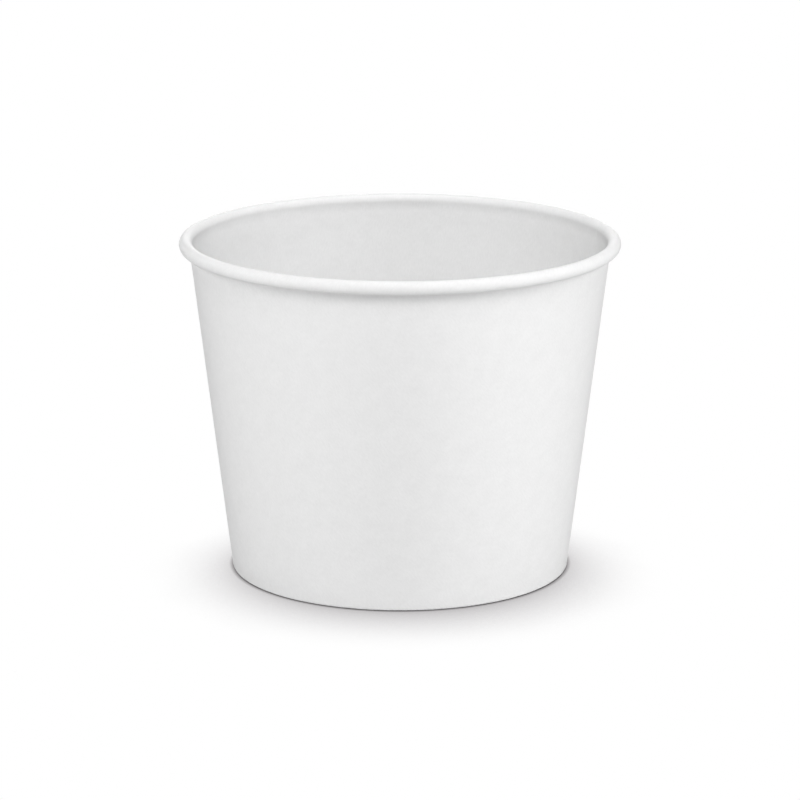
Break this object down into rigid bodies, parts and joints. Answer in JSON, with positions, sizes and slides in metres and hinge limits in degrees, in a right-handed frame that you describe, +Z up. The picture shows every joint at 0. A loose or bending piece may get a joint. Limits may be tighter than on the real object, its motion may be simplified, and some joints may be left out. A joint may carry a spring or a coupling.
{
  "type": "paper soup container",
  "caption": "Open round paper container with a tapered wall, a rolled rim, a lapped side seam and a recessed base disc, for soup or other hot food.",
  "frame": {"origin": "centre of the standing ring, on the surface that the container stands on", "axes": "+Z up along the container's axis; -Y is the side that the picture shows; the side seam is near +X"},
  "size_m": [0.117, 0.117, 0.09],
  "materials": {
    "wall_board": "matte white paperboard with a thin smooth coating on both sides",
    "disc_board": "matte white paperboard with a thin smooth coating on both sides"
  },
  "bodies": {
    "root": {"side_wall": "wall_board", "base_disc": "disc_board"}
  },
  "joints": []
}
